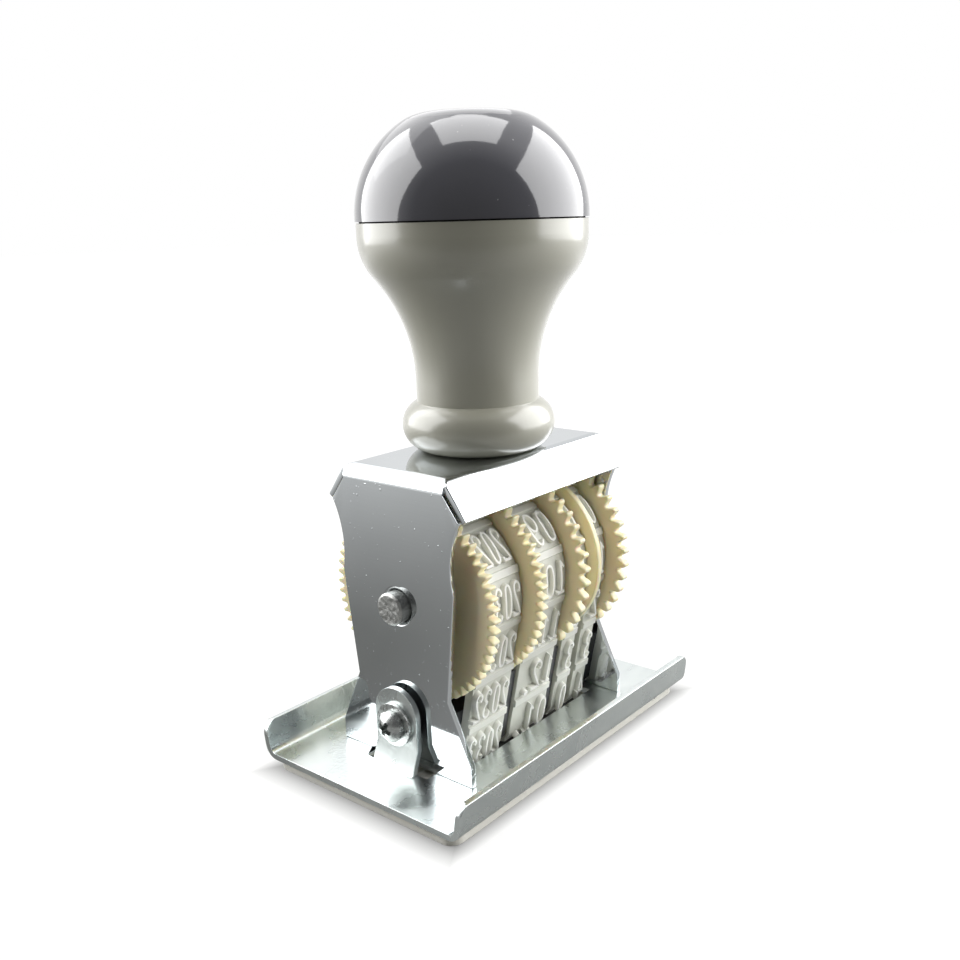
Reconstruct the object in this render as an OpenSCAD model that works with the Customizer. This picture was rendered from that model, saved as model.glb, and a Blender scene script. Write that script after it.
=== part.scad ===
// Four-band date stamp: round grip on a folded steel yoke, four numbering wheels with
// printing bands on one axle, and a steel base plate with a blank rubber die underneath.
// X runs along the wheel axle, -Y is the reading side, Z is up. The origin lies on the
// ground below the centre of the grip. All sizes are in millimetres.

/* [Die sheet] */
// Thickness of the rubber die sheet
die_thickness = 2; // [1.6:0.1:2.2]
// Length of the die sheet along the axle
die_length = 72; // [68:0.5:74]
// Width of the die sheet
die_width = 44.5; // [42:0.5:47]
// Corner radius of the die sheet
die_corner = 2.5; // [1:0.5:4]

/* [Base plate] */
// Sheet thickness of the base plate
base_sheet = 1.2; // [1:0.1:1.4]
// Length of the base plate along the axle
base_length = 73.6; // [70:0.2:80]
// Half width of the flat floor, up to the bends
floor_half = 21.6; // [20:0.1:23]
// Inner radius of the two long bends
flange_bend = 1.6; // [1.5:0.1:3]
// Outward lean of the two long flanges in degrees
flange_lean = 8; // [5:1:25]
// Straight height of a flange above its bend
flange_height = 4.6; // [3.5:0.1:6]
// Radius of the flange ends
flange_corner = 3; // [1:0.5:4]
// Room between the bands and the long sides of the window
window_room = 1.85; // [1.2:0.05:3]
// Room between the bands and the ends of the window
window_end_room = 0.4; // [0.2:0.05:1]

/* [Screw ears] */
// Half width of an ear
ear_half = 5.1; // [4.8:0.1:6]
// Height of an ear above its screw
ear_rise = 6.9; // [6.5:0.1:9]
// Gap between the ear and the side plate
ear_gap = 0.8; // [0.6:0.1:1.6]
// Height of the upright part of an ear below the washer
ear_flat = 0.2; // [0:0.1:1]
// Lean of the lower part of the ear in degrees
ear_lean = 20; // [8:1:24]
// Width of the slot left in the floor on each side of an ear
ear_slot = 2.3; // [2:0.1:3]
// Radius of the bend at the foot of an ear
ear_bend = 1; // [0.5:0.1:1.5]

/* [Base screws] */
// Thickness of the platen above its screws
screw_cover = 0.5; // [0.5:0.1:1.2]
// Diameter of the screw shank
screw_diameter = 3.5; // [3:0.1:4.2]
// Diameter of the screw head
screw_head = 6.4; // [6:0.1:7.4]
// Height of the screw head
screw_head_height = 2.3; // [1.8:0.1:2.8]
// Height of the round part of the screw head
screw_dome = 1.4; // [0.8:0.1:1.5]
// Length of the shank under the head
screw_length = 12; // [9:0.5:14]
// Outer diameter of the washer
washer_diameter = 8.2; // [7.6:0.1:9]
// Thickness of the washer
washer_thickness = 0.8; // [0.5:0.1:1]
// Room around a shank in a through hole, on the radius
hole_room = 0.2; // [0.1:0.05:0.4]

/* [Yoke] */
// Sheet thickness of the yoke
yoke_sheet = 1.1; // [0.9:0.1:1.2]
// Half length over the outer faces of the side plates
yoke_half = 23.9; // [23.4:0.1:25.5]
// Room between the wheel teeth and the top face of the yoke
top_room = 5.2; // [5:0.1:9]
// Outer radius of the bends of the top plate
yoke_bend = 2.5; // [1.6:0.1:3]
// Half width of the flat top, up to the lips
top_half = 10.5; // [9.6:0.1:11]
// Lean of the two lips away from upright in degrees
lip_lean = 37; // [30:0.5:45]
// Straight length of a lip
lip_length = 6.7; // [5:0.1:7.5]
// Distance from the end of a lip to the outer face of the side plate
lip_end = 0.5; // [0.3:0.1:1]
// Slit between a lip and the edge of the side plate
lip_slit = 0.3; // [0.2:0.05:0.4]
// Distance of the shoulders below the top face
shoulder_drop = 6.8; // [5.5:0.1:8]
// Half width at the lower corner of the hollow side
corner_half = 13.4; // [12.8:0.1:14]
// Distance of the lower corner of the hollow side below the top face
corner_drop = 19.9; // [16:0.1:23]
// Depth of the hollow side
hollow_depth = 1.2; // [0.6:0.1:1.6]
// Half width at the waist
waist_half = 11.1; // [10:0.1:12]
// Height of the waist above the floor
waist_height = 15; // [12:0.1:18]
// Half width of the foot
foot_half = 16.2; // [14.5:0.1:18]
// Height of the upright edge of the foot
foot_height = 4; // [2:0.1:5]

/* [Axle and wheels] */
// Height of the axle above the ground
axle_z = 33.8; // [32:0.1:38]
// Diameter of the axle
axle_diameter = 6; // [5:0.1:6.4]
// Length of the axle that stands out of each side plate
axle_stub = 2.2; // [1.5:0.1:3]
// Bevel at the axle ends
axle_bevel = 0.4; // [0.2:0.1:0.6]
// Width of the bevel around the axle hole in the side plate
axle_sink = 0.6; // [0.3:0.05:0.9]
// Running clearance of a wheel on the axle, on the radius
wheel_clearance = 0.05; // [0.02:0.01:0.1]
// Radius over the tooth tips
tip_radius = 19.3; // [17.8:0.1:20]
// Thickness of a toothed rim
rim_thickness = 2; // [1.6:0.1:2.2]
// Length of the spacer collar beside the year wheel
spacer_length = 2.25; // [1:0.05:4]
// Room between the last toothed rim and the side plate
end_room = 0.3; // [0.2:0.05:0.5]
// Number of teeth on the year and month wheels
fine_teeth = 60; // [48:1:66]
// Depth of the fine teeth
fine_depth = 1.4; // [1:0.1:1.6]
// Number of teeth on the two day wheels
coarse_teeth = 42; // [36:1:48]
// Depth of the coarse teeth
coarse_depth = 1.7; // [1.2:0.1:2]
// Radius of the drum that carries a band
drum_radius = 12.9; // [12:0.1:13.4]
// Wall thickness of a drum
drum_wall = 1.8; // [1.4:0.1:2.4]
// Radius of the hub around the axle
hub_radius = 5.5; // [5:0.1:7]
// Axial room between neighbouring turning pieces
side_room = 0.25; // [0.15:0.05:0.3]
// Radius of the separator disc between the day bands
separator_radius = 17.3; // [16:0.1:18]
// Thickness of the separator disc
separator_thickness = 1.4; // [1:0.1:1.6]
// Outer radius of the spacer collar
spacer_radius = 6.5; // [5:0.1:8]

/* [Bands and platen] */
// Thickness of a band
band_thickness = 1.6; // [1.2:0.1:2]
// Room around a band, to its drum and to the rims beside it
band_room = 0.3; // [0.3:0.05:0.4]
// Height of the band under the platen, left free for the raised figures
figure_height = 1; // [0.8:0.1:1.2]
// Outer radius of a band where it turns under the platen
turn_radius = 3; // [2.6:0.1:3.2]
// Half distance between the two turns
turn_half = 6; // [5.4:0.1:6.2]
// Room between a band and the sides of the platen
platen_room = 0.15; // [0.1:0.05:0.3]
// Room between the platen and the wheel teeth
platen_gap = 0.5; // [0.3:0.1:1]
// Height of the guide ribs
rib_top = 18.3; // [17:0.1:19]
// How far the guide ribs stay inside the face of the bands
rib_inset = 0.6; // [0.4:0.1:0.9]
// Room between the guide ribs and the wheel teeth
rib_room = 0.5; // [0.4:0.1:0.8]

/* [Grip] */
// Radius of the grip at the seam
grip_radius = 20.5; // [18:0.05:22]
// Height of the grip from the yoke to the seam
grip_height = 40.7; // [38.5:0.1:46]
// Radius of the neck
neck_radius = 11.3; // [10.4:0.1:11.8]
// Radius of the round shoulder under the seam
bulge_radius = 10.8; // [10:0.1:11.4]
// Height of the upright band under the seam
grip_band = 2.4; // [1.5:0.1:3]
// Radius of the hollow throat above the neck
throat_radius = 28; // [26:0.5:30]
// Outer radius of the foot ring
ring_radius = 14.15; // [13.2:0.05:14.6]
// Height of the foot ring
ring_height = 9.5; // [8.5:0.1:10]
// Depth of the socket for the cap
socket_depth = 7; // [5:0.5:9]
// Wall around the socket for the cap
socket_wall = 2.55; // [1.8:0.05:4]

/* [Cap] */
// How far the cap stands out over the grip
cap_overhang = 0.15; // [0:0.05:0.5]
// Radius of the dome curve above the seam
dome_radius = 18.7; // [16:0.1:20]
// Radius of the tighter curve at the edge of the crown
crown_radius = 9; // [6:0.5:12]
// Angle of the dome at which the tighter curve starts, in degrees
crown_turn = 58; // [45:1:66]
// Height of the upright band of the cap
cap_band = 0.4; // [0.3:0.1:1]
// Open seam between grip and cap
seam_gap = 0.25; // [0.15:0.05:0.4]
// Depth of the open seam, where the cap rests on the grip
seam_depth = 0.6; // [0.4:0.1:1]
// Fit of the cap plug in its socket, on the radius
plug_fit = 0.05; // [0.02:0.01:0.1]

/* [Grip fixing] */
// Diameter of the grip bolt
bolt_diameter = 5; // [4:0.5:6]
// Diameter of the bolt head
bolt_head = 8.6; // [7.5:0.1:9]
// Height of the bolt head
bolt_head_height = 2.8; // [2:0.1:2.8]
// Length of the bolt inside the grip
bolt_reach = 14; // [10:0.5:16]
// Diameter of the washer under the bolt head
bolt_washer = 12; // [11:0.5:14]
// Thickness of the washer under the bolt head
bolt_washer_thickness = 1; // [0.8:0.1:1.2]
// Radius of the threaded insert
insert_radius = 4.5; // [4:0.1:5.5]
// Length of the threaded insert
insert_length = 12; // [8:0.5:14]

/* [Hidden] */
$fn = 96;
bend_tuck = 0.02;
bend_lap = 0.2;
join_lap = 0.05;
floor_top = die_thickness + base_sheet;
platen_top = axle_z - tip_radius - platen_gap;
screw_radius = screw_diameter / 2;
screw_hole = screw_radius + hole_room;
screw_z = platen_top - screw_cover - screw_radius;
ear_kink = screw_z - washer_diameter / 2 - ear_flat;
ear_top = screw_z + ear_rise;
ear_face = yoke_half + ear_gap + base_sheet;
ear_root = yoke_half + ear_gap + (ear_kink - floor_top) * tan(ear_lean);
washer_face = ear_face + washer_thickness;
yoke_top = axle_z + tip_radius + top_room;
yoke_inner = yoke_half - yoke_sheet;
yoke_bend_in = yoke_bend - yoke_sheet;
shoulder_z = yoke_top - shoulder_drop;
corner_z = yoke_top - corner_drop;
bend_z = yoke_top - yoke_bend;
slit_across = lip_slit / cos(lip_lean);
edge_half = top_half + yoke_bend_in / cos(lip_lean) - slit_across;
shoulder_half = edge_half + (bend_z - shoulder_z) * tan(lip_lean);
hollow_chord = norm([shoulder_half - corner_half, shoulder_z - corner_z]);
hollow_radius = (hollow_chord * hollow_chord / 4 + hollow_depth * hollow_depth) / (2 * hollow_depth);
hollow_turn = atan2(corner_half - shoulder_half, shoulder_z - corner_z);
axle_radius = axle_diameter / 2;
bore_radius = axle_radius + wheel_clearance;
axle_half = yoke_half + axle_stub;
bolt_hole = bolt_diameter / 2 + hole_room;
year_rim = spacer_length + side_room - yoke_inner;
units_rim = yoke_inner - end_room - rim_thickness;
wheel_pitch = (units_rim - year_rim) / 3;
month_rim = year_rim + wheel_pitch;
tens_rim = units_rim - wheel_pitch;
separator_at = (tens_rim + rim_thickness + units_rim - separator_thickness) / 2;
band_radius = drum_radius + band_room + band_thickness;
turn_z = figure_height + turn_radius;
turn_drop = axle_z - turn_z;
run_angle = asin((turn_radius - band_radius) / norm([turn_half, turn_drop])) + atan2(turn_half, turn_drop);
floor_run = turn_half + (turn_radius + (turn_z - floor_top) * sin(run_angle)) / cos(run_angle);
window_half = floor_run + window_room;
window_end = units_rim - band_room + window_end_room;
ring_round = ring_height / 2;
seam_z = yoke_top + grip_height;
bulge_z = seam_z - grip_band;
throat_out = neck_radius + throat_radius - grip_radius + bulge_radius;
throat_drop = sqrt(pow(throat_radius + bulge_radius, 2) - throat_out * throat_out);
throat_z = bulge_z - throat_drop;
join_share = bulge_radius / (throat_radius + bulge_radius);
join_z = bulge_z - throat_drop * join_share;
socket_radius = grip_radius - socket_wall;
cap_radius = grip_radius + cap_overhang;
dome_z = seam_z + seam_gap + cap_band;

// Pulls a flat outline drawn in Y and Z along X.
module along_x(start, stop) {
    translate([start, 0, 0])
        rotate([90, 0, 90])
            linear_extrude(stop - start)
                children();
}

// Pulls a flat outline drawn in X and Z along Y, the same distance to both sides.
module along_y(half) {
    rotate([90, 0, 0])
        linear_extrude(2 * half, center = true)
            children();
}

// Turns a flat outline drawn as radius and length about a line along X.
module about_x(start, height) {
    translate([start, 0, height])
        rotate([0, 90, 0])
            rotate_extrude()
                children();
}

// A round bar along X at a given height.
module bar_x(radius, start, stop, height) {
    translate([start, 0, height])
        rotate([0, 90, 0])
            cylinder(r = radius, h = stop - start);
}

// Makes a shape and its mirror image across the axle.
module both_ends() {
    children();
    mirror([1, 0, 0])
        children();
}

// Part of a ring between two angles that lie less than a right angle apart or just at it.
module ring_part(outer, inner, low, high) {
    reach = 2 * outer;
    intersection() {
        difference() {
            circle(outer);
            circle(inner);
        }
        polygon([
            [0, 0],
            [reach * cos(low), reach * sin(low)],
            [reach * cos(high), reach * sin(high)]
        ]);
    }
}

// Blank rubber sheet that carries the printing text around the date.
module die_sheet() {
    side = die_length / 2 - die_corner;
    end = die_width / 2 - die_corner;
    color("Ivory")
        linear_extrude(die_thickness)
            difference() {
                union() {
                    square([die_length, 2 * end], center = true);
                    square([2 * side, die_width], center = true);
                    for (x = [-side, side])
                        for (y = [-end, end])
                            translate([x, y])
                                circle(die_corner);
                }
                square([2 * window_end, 2 * window_half], center = true);
            }
}

// One half of the cross section of the base plate.
module base_section() {
    translate([0, die_thickness])
        square([floor_half, base_sheet]);
    translate([floor_half, floor_top + flange_bend]) {
        ring_part(flange_bend + base_sheet, flange_bend, -90, -flange_lean);
        rotate(-flange_lean)
            translate([flange_bend - bend_tuck, -bend_lap])
                square([base_sheet, flange_height + bend_lap]);
    }
}

// Side view of an ear: leaning root, upright plate and the hollow of the bend.
module ear_side() {
    corner = ear_root + base_sheet;
    spread = ear_bend / tan(45 + ear_lean / 2);
    inside = base_sheet / 2;
    touch = [corner - spread * sin(ear_lean), floor_top + spread * cos(ear_lean)];
    polygon([
        [ear_face - base_sheet, ear_top],
        [ear_face - base_sheet, ear_kink],
        [ear_root, floor_top],
        [ear_root, die_thickness],
        [corner + spread, die_thickness],
        [corner, floor_top],
        [ear_face, ear_kink],
        [ear_face, ear_top]
    ]);
    difference() {
        polygon([
            [corner - inside, floor_top - inside],
            [corner + spread, floor_top - inside],
            [corner + spread, floor_top],
            touch,
            touch - inside * [cos(ear_lean), sin(ear_lean)]
        ]);
        translate([corner + spread, floor_top + ear_bend])
            circle(ear_bend);
    }
}

// An ear with its round top and screw hole.
module ear() {
    crown = ear_top - ear_half;
    difference() {
        intersection() {
            along_y(ear_half)
                ear_side();
            along_x(yoke_half, ear_root + 2 * base_sheet)
                union() {
                    translate([-ear_half, 0])
                        square([2 * ear_half, crown]);
                    translate([0, crown])
                        circle(ear_half);
                }
        }
        bar_x(screw_hole, yoke_half, ear_root + 2 * base_sheet, screw_z);
    }
}

// Folded steel plate with two long flanges, a window and an ear at each end.
module base_plate() {
    end = base_length / 2;
    bend_rise = flange_bend * (1 - sin(flange_lean));
    rise = floor_top + bend_rise + flange_height * cos(flange_lean) + bend_lap;
    color("LightSteelBlue") {
        difference() {
            intersection() {
                along_x(-end, end) {
                    base_section();
                    mirror([1, 0])
                        base_section();
                }
                along_y(2 * floor_half)
                    union() {
                        translate([-end, 0])
                            square([base_length, rise - flange_corner]);
                        translate([flange_corner - end, 0])
                            square([base_length - 2 * flange_corner, rise]);
                        for (x = [flange_corner - end, end - flange_corner])
                            translate([x, rise - flange_corner])
                                circle(flange_corner);
                    }
            }
            linear_extrude(floor_top + flange_bend) {
                square([2 * window_end, 2 * window_half], center = true);
                square([2 * ear_root, 2 * (ear_half + ear_slot)], center = true);
            }
        }
        both_ends()
            ear();
    }
}

// Two pan head screws that hold the base plate and the yoke on the platen.
module base_screws() {
    head = screw_head / 2;
    dome = (head * head + screw_dome * screw_dome) / (2 * screw_dome);
    color("Silver")
        both_ends()
            about_x(washer_face, screw_z) {
                translate([0, -screw_length])
                    square([screw_radius, screw_length + screw_head_height / 2]);
                intersection() {
                    square([head, screw_head_height]);
                    translate([0, screw_head_height - dome])
                        circle(dome);
                }
            }
}

// Two flat washers under the screw heads.
module screw_washers() {
    color("Silver")
        both_ends()
            difference() {
                bar_x(washer_diameter / 2, ear_face, washer_face, screw_z);
                bar_x(screw_hole, ear_face, washer_face, screw_z);
            }
}

// Outline of a side plate with shoulders, hollow sides, waist and foot.
module side_outline() {
    edge = [
        [foot_half, floor_top],
        [foot_half, floor_top + foot_height],
        [waist_half, floor_top + waist_height],
        [corner_half, corner_z],
        [shoulder_half, shoulder_z],
        [edge_half, bend_z]
    ];
    difference() {
        polygon(concat(edge, [for (i = [len(edge) - 1:-1:0]) [-edge[i][0], edge[i][1]]]));
        for (side = [0, 1])
            mirror([side, 0])
                translate([(shoulder_half + corner_half) / 2, (shoulder_z + corner_z) / 2])
                    rotate(hollow_turn)
                        translate([hollow_radius - hollow_depth, 0])
                            circle(hollow_radius);
    }
}

// Half of the cross section of the top plate with one bent lip.
module lip_section() {
    translate([0, yoke_top - yoke_sheet])
        square([top_half, yoke_sheet]);
    translate([top_half, bend_z]) {
        ring_part(yoke_bend, yoke_bend_in, lip_lean, 90);
        rotate(lip_lean)
            translate([yoke_bend_in - bend_tuck, -lip_length])
                square([yoke_sheet, lip_length + bend_lap]);
    }
}

// Folded steel yoke: top plate, two lips and two side plates.
module yoke() {
    bend_x = yoke_half - yoke_bend;
    color("Gainsboro")
        difference() {
            union() {
                along_x(lip_end - yoke_half, yoke_half - lip_end) {
                    lip_section();
                    mirror([1, 0])
                        lip_section();
                }
                both_ends() {
                    along_x(yoke_inner, yoke_half)
                        side_outline();
                    along_y(edge_half)
                        translate([bend_x, bend_z])
                            ring_part(yoke_bend, yoke_bend_in, 0, 90);
                }
            }
            translate([0, 0, yoke_top - yoke_bend])
                cylinder(r = bolt_hole, h = 2 * yoke_bend);
            bar_x(axle_radius, -axle_half, axle_half, axle_z);
            both_ends() {
                translate([yoke_inner, 0, axle_z])
                    rotate([0, 90, 0])
                        cylinder(r1 = axle_radius - axle_sink, r2 = axle_radius + axle_sink, h = yoke_sheet);
                bar_x(screw_hole, yoke_inner - yoke_sheet, yoke_half + yoke_sheet, screw_z);
            }
        }
}

// Space inside the closed path of a band, moved outwards by a given distance.
module band_path(grow, start, stop) {
    wheel = band_radius + grow;
    turn = turn_radius + grow;
    wheel_run = (wheel - bend_tuck) * [cos(run_angle), sin(run_angle)];
    turn_run = (turn - bend_tuck) * [cos(run_angle), sin(run_angle)];
    bar_x(wheel, start, stop, axle_z);
    for (y = [-turn_half, turn_half])
        translate([0, y, 0])
            bar_x(turn, start, stop, turn_z);
    along_x(start, stop)
        polygon([
            [wheel_run[0], axle_z + wheel_run[1]],
            [turn_half + turn_run[0], turn_z + turn_run[1]],
            [turn_half, turn_z - turn],
            [-turn_half, turn_z - turn],
            [-turn_half - turn_run[0], turn_z + turn_run[1]],
            [-wheel_run[0], axle_z + wheel_run[1]]
        ]);
}

// Flat rubber belt between two positions on the axle.
module band(start, stop) {
    difference() {
        band_path(0, start, stop);
        band_path(-band_thickness, start - band_thickness, stop + band_thickness);
    }
}

// Bar under the wheels that presses the bands on the paper, with ribs that keep the bands apart.
module platen() {
    color("DimGray")
        difference() {
            union() {
                intersection() {
                    translate([0, 0, -platen_room])
                        band_path(-band_thickness - platen_room, -yoke_inner, yoke_inner);
                    translate([-yoke_half, -band_radius, 0])
                        cube([2 * yoke_half, 2 * band_radius, platen_top]);
                }
                for (rim = [month_rim, tens_rim])
                    difference() {
                        intersection() {
                            band_path(-rib_inset, rim, rim + rim_thickness);
                            translate([-yoke_half, -band_radius, 0])
                                cube([2 * yoke_half, 2 * band_radius, rib_top]);
                        }
                        bar_x(tip_radius + rib_room, rim - rim_thickness, rim + 2 * rim_thickness, axle_z);
                    }
            }
            both_ends()
                bar_x(screw_radius, washer_face - screw_length, yoke_half, screw_z);
        }
}

// Steel pin through both side plates.
module wheel_axle() {
    color("Silver")
        about_x(-axle_half, axle_z)
            polygon([
                [0, 0],
                [axle_radius - axle_bevel, 0],
                [axle_radius, axle_bevel],
                [axle_radius, 2 * axle_half - axle_bevel],
                [axle_radius - axle_bevel, 2 * axle_half],
                [0, 2 * axle_half]
            ]);
}

// Collar that fills the space between the side plate and the year wheel.
module axle_spacer() {
    color("Ivory")
        about_x(-yoke_inner, axle_z)
            translate([axle_radius, 0])
                square([spacer_radius - axle_radius, spacer_length]);
}

// Smooth disc between the two day bands.
module separator_disc() {
    color("Ivory")
        about_x(separator_at, axle_z)
            translate([axle_radius, 0])
                square([separator_radius - axle_radius, separator_thickness]);
}

// Rim with round teeth and a round hollow between each two of them.
module toothed_rim(start, teeth, depth) {
    steps = 8;
    along_x(start, start + rim_thickness)
        translate([0, axle_z])
            difference() {
                polygon([
                    for (i = [0:teeth * steps - 1])
                        let (turn = 360 * i / (teeth * steps))
                        let (r = tip_radius - depth * (1 - cos(360 * i / steps)) / 2)
                            [r * sin(turn), r * cos(turn)]
                ]);
                circle(bore_radius);
            }
}

// Hollow drum beside a toothed rim, with a hub on the axle.
module drum(start, length) {
    about_x(start, axle_z) {
        translate([drum_radius - drum_wall, 0])
            square([drum_wall, length]);
        translate([bore_radius, 0])
            square([hub_radius - bore_radius, length]);
    }
}

// Year wheel: fine teeth, drum on the far side.
module year_wheel() {
    color("Ivory") {
        toothed_rim(year_rim, fine_teeth, fine_depth);
        drum(year_rim + rim_thickness, wheel_pitch - rim_thickness - side_room);
    }
}

// Month wheel: fine teeth, drum on the far side.
module month_wheel() {
    color("Ivory") {
        toothed_rim(month_rim, fine_teeth, fine_depth);
        drum(month_rim + rim_thickness, wheel_pitch - rim_thickness - side_room);
    }
}

// Wheel for the first figure of the day: coarse teeth, drum on the far side.
module day_tens_wheel() {
    color("Ivory") {
        toothed_rim(tens_rim, coarse_teeth, coarse_depth);
        drum(tens_rim + rim_thickness, separator_at - side_room - tens_rim - rim_thickness);
    }
}

// Wheel for the second figure of the day: coarse teeth, drum on the near side.
module day_units_wheel() {
    drum_start = separator_at + separator_thickness + side_room;
    color("Ivory") {
        toothed_rim(units_rim, coarse_teeth, coarse_depth);
        drum(drum_start, units_rim - drum_start);
    }
}

// Wide band with the years.
module year_band() {
    color("WhiteSmoke")
        band(year_rim + rim_thickness + band_room, month_rim - band_room);
}

// Wide band with the months.
module month_band() {
    color("WhiteSmoke")
        band(month_rim + rim_thickness + band_room, tens_rim - band_room);
}

// Narrow band with the first figure of the day.
module day_tens_band() {
    color("WhiteSmoke")
        band(tens_rim + rim_thickness + band_room, separator_at - band_room);
}

// Narrow band with the second figure of the day.
module day_units_band() {
    color("WhiteSmoke")
        band(separator_at + separator_thickness + band_room, units_rim - band_room);
}

// Outline of the grip: foot ring, neck, hollow throat and round shoulder.
module grip_outline() {
    ring_z = yoke_top + ring_round;
    translate([ring_radius - ring_round, ring_z])
        circle(ring_round);
    translate([0, yoke_top])
        square([ring_radius - ring_round, ring_height]);
    translate([0, ring_z])
        square([neck_radius, throat_z - ring_z + join_lap]);
    difference() {
        translate([0, throat_z])
            square([grip_radius, join_z - throat_z]);
        translate([neck_radius + throat_radius, throat_z])
            circle(throat_radius);
    }
    intersection() {
        translate([grip_radius - bulge_radius, bulge_z])
            circle(bulge_radius);
        translate([0, join_z - join_lap])
            square([grip_radius, bulge_z - join_z + join_lap + grip_band / 2]);
    }
    translate([0, join_z - join_lap])
        square([grip_radius - bulge_radius, seam_z - join_z + join_lap]);
    translate([0, bulge_z])
        square([grip_radius, grip_band]);
}

// Moulded grip with a socket for the cap and a bore for bolt and insert.
module grip() {
    color("Tan")
        rotate_extrude()
            difference() {
                grip_outline();
                square([insert_radius, yoke_top + insert_length]);
                square([bolt_hole, yoke_top + bolt_reach + hole_room]);
                translate([0, seam_z - socket_depth])
                    square([socket_radius, socket_depth + grip_band]);
            }
}

// Dark dome with a flat crown that closes the grip, with a plug in the socket.
module grip_cap() {
    side = cap_radius - dome_radius;
    flat = side + (dome_radius - crown_radius) * cos(crown_turn);
    crown_z = dome_z + (dome_radius - crown_radius) * sin(crown_turn);
    meet_z = dome_z + dome_radius * sin(crown_turn);
    color("DimGray")
        rotate_extrude() {
            intersection() {
                translate([side, dome_z])
                    circle(dome_radius);
                translate([0, dome_z])
                    square([cap_radius, meet_z - dome_z]);
            }
            intersection() {
                translate([flat, crown_z])
                    circle(crown_radius);
                translate([0, meet_z])
                    square([cap_radius, crown_radius]);
            }
            translate([0, meet_z])
                square([flat, crown_z + crown_radius - meet_z]);
            translate([0, seam_z + seam_gap])
                square([cap_radius, cap_band]);
            translate([0, seam_z])
                square([grip_radius - seam_depth, seam_gap + cap_band]);
            translate([0, seam_z - socket_depth])
                square([socket_radius - plug_fit, socket_depth + seam_gap + cap_band]);
        }
}

// Brass insert in the foot of the grip that takes the bolt.
module grip_insert() {
    color("Goldenrod")
        rotate_extrude()
            translate([bolt_diameter / 2, yoke_top])
                square([insert_radius - bolt_diameter / 2, insert_length]);
}

// Bolt from inside the yoke up into the grip.
module grip_bolt() {
    head_top = yoke_top - yoke_sheet - bolt_washer_thickness;
    color("Silver") {
        translate([0, 0, head_top])
            cylinder(d = bolt_diameter, h = yoke_top + bolt_reach - head_top);
        translate([0, 0, head_top - bolt_head_height])
            cylinder(d = bolt_head, h = bolt_head_height);
    }
}

// Washer between the bolt head and the top plate.
module grip_washer() {
    color("Silver")
        translate([0, 0, yoke_top - yoke_sheet - bolt_washer_thickness])
            difference() {
                cylinder(d = bolt_washer, h = bolt_washer_thickness);
                translate([0, 0, -bolt_washer_thickness])
                    cylinder(r = bolt_hole, h = 3 * bolt_washer_thickness);
            }
}

die_sheet();
base_plate();
base_screws();
screw_washers();
yoke();
platen();
wheel_axle();
axle_spacer();
separator_disc();
year_wheel();
month_wheel();
day_tens_wheel();
day_units_wheel();
year_band();
month_band();
day_tens_band();
day_units_band();
grip();
grip_cap();
grip_insert();
grip_bolt();
grip_washer();
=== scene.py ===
import bmesh
import bpy
import math
from mathutils import Matrix, Vector, noise


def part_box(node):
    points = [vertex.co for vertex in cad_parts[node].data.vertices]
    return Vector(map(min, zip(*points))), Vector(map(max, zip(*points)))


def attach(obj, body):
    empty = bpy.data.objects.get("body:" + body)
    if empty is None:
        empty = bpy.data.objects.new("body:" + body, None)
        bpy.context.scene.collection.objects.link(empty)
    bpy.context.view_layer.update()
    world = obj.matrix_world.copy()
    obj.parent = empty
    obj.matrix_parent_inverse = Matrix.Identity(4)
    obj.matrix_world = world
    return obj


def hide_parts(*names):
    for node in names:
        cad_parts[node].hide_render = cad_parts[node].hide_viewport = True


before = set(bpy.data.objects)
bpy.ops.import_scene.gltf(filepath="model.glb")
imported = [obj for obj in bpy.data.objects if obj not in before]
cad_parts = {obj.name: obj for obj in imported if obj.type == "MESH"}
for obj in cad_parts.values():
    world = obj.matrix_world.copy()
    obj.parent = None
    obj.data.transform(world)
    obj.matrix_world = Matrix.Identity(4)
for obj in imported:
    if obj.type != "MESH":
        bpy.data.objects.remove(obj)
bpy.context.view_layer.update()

# Die sheet: a blank cream rubber sheet under the base plate, cut from rolled stock
# and glued on. Only its edge shows, so it gets soft corners and a chalky grain.
MM = 0.001
# Places of the colour sockets on a mix node.
FROM_COLOUR = 6
TO_COLOUR = 7
MIXED_COLOUR = 2
# Turns between faces, in degrees, and distances that count as none.
CREASE = 40
SHARP_TURN = 32
FLAT_TURN = 0.4
CAD_WELD = 0.025 * MM
SAME_POINT = 0.002 * MM


def linear(code):
    """Turns an sRGB hex colour into the linear colour that shaders take."""
    parts = [int(code[i:i + 2], 16) / 255 for i in (1, 3, 5)]
    return [c / 12.92 if c <= 0.04045 else ((c + 0.055) / 1.055) ** 2.4 for c in parts] + [1.0]


def add(tree, kind, inputs=None, **settings):
    """Adds one shader node, sets its options, and sets or links its inputs."""
    made = tree.nodes.new(kind)
    for name, value in settings.items():
        setattr(made, name, value)
    for socket, value in (inputs or {}).items():
        if isinstance(value, bpy.types.NodeSocket):
            tree.links.new(value, made.inputs[socket])
        else:
            made.inputs[socket].default_value = value
    return made


def start_material(name, **sockets):
    """Starts a material and returns it with its node tree, main shader and object coordinates."""
    material = bpy.data.materials.new(name)
    material.use_nodes = True
    tree = material.node_tree
    shader = tree.nodes["Principled BSDF"]
    for socket, value in sockets.items():
        shader.inputs[socket.replace("_", " ")].default_value = value
    place = tree.nodes.new("ShaderNodeTexCoord").outputs["Object"]
    return material, tree, shader, place


def coat(piece, material):
    """Gives every slot of a piece the same material."""
    if not piece.material_slots:
        piece.data.materials.append(material)
    for held in piece.material_slots:
        held.material = material


def mesh_object(name, shape):
    """Turns a finished bmesh into an object in the scene."""
    mesh = bpy.data.meshes.new(name)
    shape.to_mesh(mesh)
    shape.free()
    made = bpy.data.objects.new(name, mesh)
    bpy.context.scene.collection.objects.link(made)
    return made


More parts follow.
